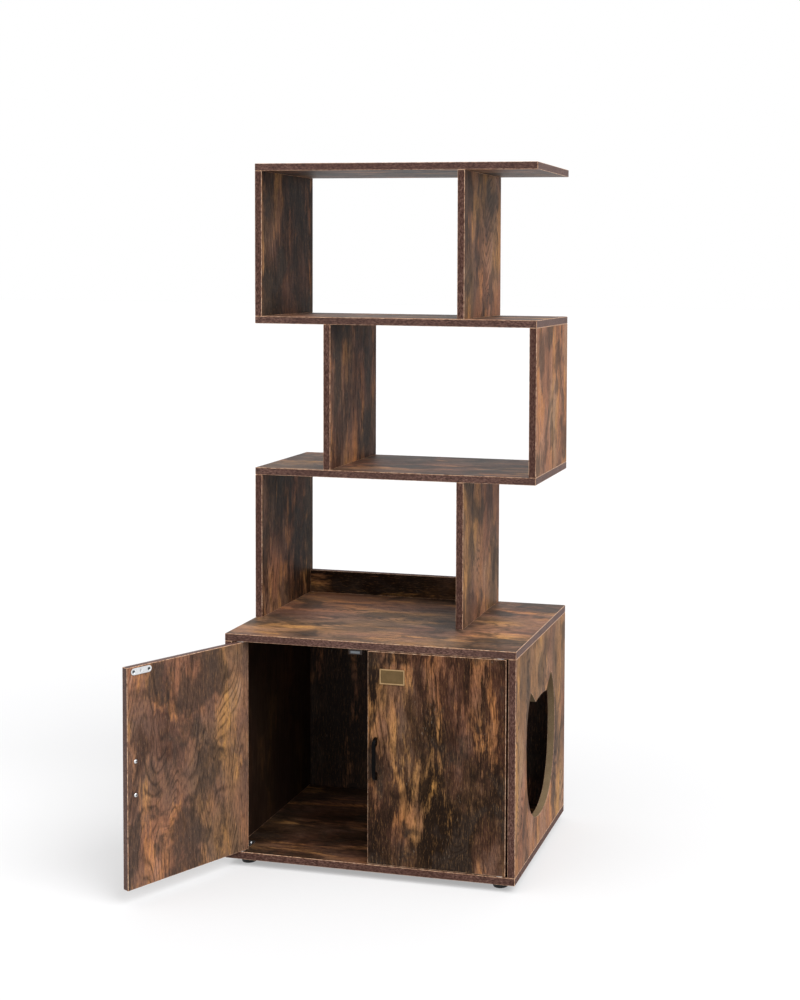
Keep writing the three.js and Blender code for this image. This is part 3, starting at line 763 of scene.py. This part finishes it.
def dress_entrance():
    """The wall of the entrance is the panel's bare core, and its rim is worn and paler like the boards'
    corners, with the same painted highlight.

    The wall's edges on the panel's two faces are marked, and those that run through the panel are not.
    """
    mesh = nodes["cabinet_right_side"].data
    low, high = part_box("cabinet_right_side")
    mesh.materials.append(core_material())
    core_slot = len(mesh.materials) - 1
    marks = mesh.attributes[EDGE_MARKS]
    for face in mesh.polygons:
        inside = all(low[i] + EDGE_ZONE < face.center[i] < high[i] - EDGE_ZONE for i in (Y, Z))
        if inside and abs(face.normal.x) < WALL_COSINE:
            face.material_index = core_slot
            for loop in face.loop_indices:
                edge = mesh.edges[mesh.loops[loop].edge_index]
                start, end = (mesh.vertices[v].co.x for v in edge.vertices)
                marks.data[edge.index].value = float(abs(start - end) < LEVEL)


def dress_name_plate(brass, field):
    """The sunk field of the plate is darker than its border."""
    dress("name_plate", [brass, field], PLATE_EASE)
    low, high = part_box("name_plate")
    for face in nodes["name_plate"].data.polygons:
        inside = all(low[i] + PLATE_BORDER < face.center[i] < high[i] - PLATE_BORDER for i in (X, Z))
        if inside and face.normal.y < -FRONT_COSINE:
            face.material_index = PLATE_FIELD_SLOT


def dress_fittings(finishes):
    for word, (finish, width) in FITTINGS.items():
        for name in nodes:
            if name.startswith(word) or name.endswith(word):
                dress(name, [finishes[finish]], width)


# ---------------------------------------------------------------- screws

LATHE_SIDES = 32
CREASE = math.radians(35)
# a round head's outline, as shares of its radius and its height
DOME = ((0, 0), (0.30, 0.02), (0.55, 0.08), (0.76, 0.21), (0.91, 0.42), (0.99, 0.70), (1.0, 1.0))
RIM = 0.07  # chamfer round a countersunk head, as a share of its radius
POINT = 2  # length of a screw's point, in radii of its shank
RECESS_REACH, RECESS_HALF_WIDTH, RECESS_DEPTH = 0.6, 0.14, 0.45  # as shares of the head's radius
RECESS_TAPER = 0.55  # size of the recess's floor, as a share of its mouth's
RECESS_SLOT = 1
ROUNDING = 7  # decimals of a metre, to find a CAD node's doubled points
DOWN = (0, 0, -1)

# each screw is left at its own angle
SCREW_TURN, FOOT_SCREW_TURN, CATCH_SCREW_TURN = 0.9, 0.7, 0.5
CATCH_SCREW_FIRST_TURN = 0.3
FOOT_SCREW_LIFT = 4.4 * MM  # from the floor to its head
CATCH_SCREW_INSET = 4.5 * MM  # from the catch's end
CATCH_SCREW_DROP = 4.85 * MM  # from the catch's top to its head


class ScrewKind(NamedTuple):
    """A kind of CAD screw. words are in its nodes' names, and shank is a radius."""

    words: tuple
    head_height: float
    shank: float
    countersunk: bool
    finish: str


SCREW_KINDS = {
    "pivot_screw": ScrewKind(("_pivot_screw",), 2.2 * MM, 1.75 * MM, False, "zinc_steel"),
    "strike_screw": ScrewKind(("_strike_screw_",), 1.5 * MM, 1.5 * MM, True, "dark_steel"),
    "handle_screw": ScrewKind(("_handle_screw_",), 2.6 * MM, 1.8 * MM, False, "bright_steel"),
    "base_screw": ScrewKind(("base_screw_",), 2.0 * MM, 3.0 * MM, True, "zinc_steel"),
    "board_screw": ScrewKind(("upright_screw_", "rail_screw_"), 2.0 * MM, 2.0 * MM, True, "zinc_steel"),
}
FOOT_SCREW = {"head": 4.2 * MM, "head_height": 2.4 * MM, "shank": 1.75 * MM, "length": 7.0 * MM}
CATCH_SCREW = {"head": 3.0 * MM, "head_height": 1.8 * MM, "shank": 1.4 * MM, "length": 4.6 * MM}


def lathe(bm, profile):
    """A closed solid of revolution round Z, from (radius, height) pairs that start and end on the axis."""
    rings = []
    for radius, height in profile:
        angles = [2 * math.pi * i / LATHE_SIDES for i in range(LATHE_SIDES if radius else 1)]
        rings.append([bm.verts.new((radius * math.cos(a), radius * math.sin(a), height)) for a in angles])
    for lower, upper in zip(rings, rings[1:]):
        for i in range(LATHE_SIDES):
            j = (i + 1) % LATHE_SIDES
            corners = [ring[k % len(ring)] for ring, k in ((lower, i), (lower, j), (upper, j), (upper, i))]
            bm.faces.new(list(dict.fromkeys(corners)))
    bmesh.ops.recalc_face_normals(bm, faces=bm.faces)


def cross_cutter(bm, reach, half_width, depth):
    """A cross with four arms that stands above Z = 0 and narrows below it, to its floor at -depth."""
    w, r = half_width, reach
    outline = [(w, r), (-w, r), (-w, w), (-r, w), (-r, -w), (-w, -w), (-w, -r), (w, -r), (w, -w), (r, -w),
               (r, w), (w, w)]
    levels = [[bm.verts.new((x * size, y * size, z)) for x, y in outline]
              for size, z in ((1.0, depth), (1.0, 0.0), (RECESS_TAPER, -depth))]
    for upper, lower in zip(levels, levels[1:]):
        for i in range(len(outline)):
            j = i - 1
            bm.faces.new((upper[i], upper[j], lower[j], lower[i]))
    bm.faces.new(levels[0])
    bm.faces.new(levels[-1])
    bmesh.ops.recalc_face_normals(bm, faces=bm.faces)


def crisp(mesh):
    mesh.shade_smooth()
    mesh.set_sharp_from_angle(angle=CREASE)
    return mesh


def object_from(name, build, materials, slot):
    """An object whose mesh build makes in a bmesh, with all its faces on one of the material slots."""
    mesh = bpy.data.meshes.new(name)
    bm = bmesh.new()
    build(bm)
    bm.to_mesh(mesh)
    bm.free()
    crisp(mesh)
    for material in materials:
        mesh.materials.append(material)
    for face in mesh.polygons:
        face.material_index = slot
    obj = bpy.data.objects.new(name, mesh)
    scene.collection.objects.link(obj)
    return obj


def screw_mesh(name, materials, head, head_height, shank, length, countersunk=False):
    """A cross-recess screw along Z with the top of its head at zero and its point below. head is a radius.

    The walls of the recess are a darker metal than the rest: painted shade in the deep recess, with the
    grime that a driver and dust leave.
    """
    if countersunk:
        cone = head - shank
        profile = [(0, 0), ((1 - RIM) * head, 0), (head, -RIM * head), (shank, -cone)]
    else:
        profile = [(r * head, -h * head_height) for r, h in DOME] + [(shank, -head_height)]
    profile += [(shank, POINT * shank - length), (0, -length)]
    reach, half_width, depth = RECESS_REACH * head, RECESS_HALF_WIDTH * head, RECESS_DEPTH * head
    solid = object_from(name, lambda bm: lathe(bm, profile), materials, 0)
    cutter = object_from(name, lambda bm: cross_cutter(bm, reach, half_width, depth), materials, RECESS_SLOT)
    recess = solid.modifiers.new("recess", "BOOLEAN")
    recess.object = cutter
    recess.solver = "EXACT"
    recess.operation = "DIFFERENCE"
    cut = bpy.data.meshes.new_from_object(solid.evaluated_get(bpy.context.evaluated_depsgraph_get()))
    cut.name = name
    for obj in (solid, cutter):
        bpy.data.objects.remove(obj)
    return crisp(cut)


def place_along(name, mesh, at, direction, turn, body):
    """A piece whose Z axis points along direction, turned about it."""
    obj = bpy.data.objects.new(name, mesh)
    scene.collection.objects.link(obj)
    aim = Vector(direction).to_track_quat("Z", "Y").to_matrix() @ Matrix.Rotation(turn, 3, "Z")
    obj.matrix_world = Matrix.Translation(at) @ aim.to_4x4()
    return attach(obj, body)


def screw_pose(node):
    """The top of a CAD screw's head, the way it faces, its head's radius and its length."""
    points = np.unique(np.array([v.co for v in node.data.vertices]).round(ROUNDING), axis=0)
    middle = points.mean(axis=0)
    axis = np.linalg.svd(points - middle)[2][0]
    heights = (points - middle) @ axis
    radii = np.linalg.norm(points - middle - np.outer(heights, axis), axis=1)
    if heights[radii.argmax()] < 0:
        axis, heights = -axis, -heights
    return Vector(middle + axis * heights.max()), Vector(axis), radii.max(), np.ptp(heights)


def replace_screws(finishes):
    """Puts a screw with a cross recess in the place of each CAD screw."""
    count = 0
    for kind, facts in SCREW_KINDS.items():
        materials = [finishes[facts.finish], finishes["recess_grime_and_painted_shade"]]
        mesh = None
        for name in sorted(n for n in nodes if any(word in n for word in facts.words)):
            top, out, head, length = screw_pose(nodes[name])
            if mesh is None:
                mesh = screw_mesh(kind, materials, head, facts.head_height, facts.shank, length,
                                  facts.countersunk)
            count += 1
            body = nodes[name]["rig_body"]
            screw = place_along("cross_" + name, mesh, top, out, SCREW_TURN * count, body)
            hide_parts(name)


def add_foot_screws(materials):
    """A screw up each foot's recess, which holds it to the cabinet's bottom board."""
    mesh = screw_mesh("foot_screw", materials, **FOOT_SCREW)
    for i, name in enumerate(sorted(n for n in nodes if n.startswith("foot_"))):
        low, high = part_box(name)
        at = Vector(((low.x + high.x) / 2, (low.y + high.y) / 2, low.z + FOOT_SCREW_LIFT))
        place_along(name + "_screw", mesh, at, DOWN, FOOT_SCREW_TURN * i, "carcass")


def add_catch_screws(materials):
    """Two screws up through the ears of each catch."""
    mesh = screw_mesh("catch_screw", materials, **CATCH_SCREW)
    for hand in ("left", "right"):
        low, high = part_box(hand + "_catch")
        for end, x, inward in (("inner", low.x, 1), ("outer", high.x, -1)):
            at = Vector((x + inward * CATCH_SCREW_INSET, (low.y + high.y) / 2, high.z - CATCH_SCREW_DROP))
            turn = CATCH_SCREW_TURN * inward + CATCH_SCREW_FIRST_TURN
            place_along(f"{hand}_catch_screw_{end}", mesh, at, DOWN, turn, "carcass")


# ---------------------------------------------------------------- scene

make_camera()
soft_sun("key", KEY_TOWARD, KEY_STRENGTH, KEY_SPREAD)
soft_sun("fill", FILL_TOWARD, FILL_STRENGTH, FILL_SPREAD)
make_world()
make_floor()
dress_boards()
dress_entrance()
dress("cabinet_back_panel", [hardboard_material()])
finishes = {name: metal_material(name, *facts) for name, facts in METALS.items()}
finishes.update({name: plastic_material(name, color) for name, color in PLASTICS.items()})
dress_fittings(finishes)
dress_name_plate(finishes["brass"], finishes["brass_field"])
replace_screws(finishes)
add_foot_screws([finishes["zinc_steel"], finishes["recess_grime_and_painted_shade"]])
add_catch_screws([finishes["zinc_steel"], finishes["recess_grime_and_painted_shade"]])

scene.view_settings.view_transform = "Standard"
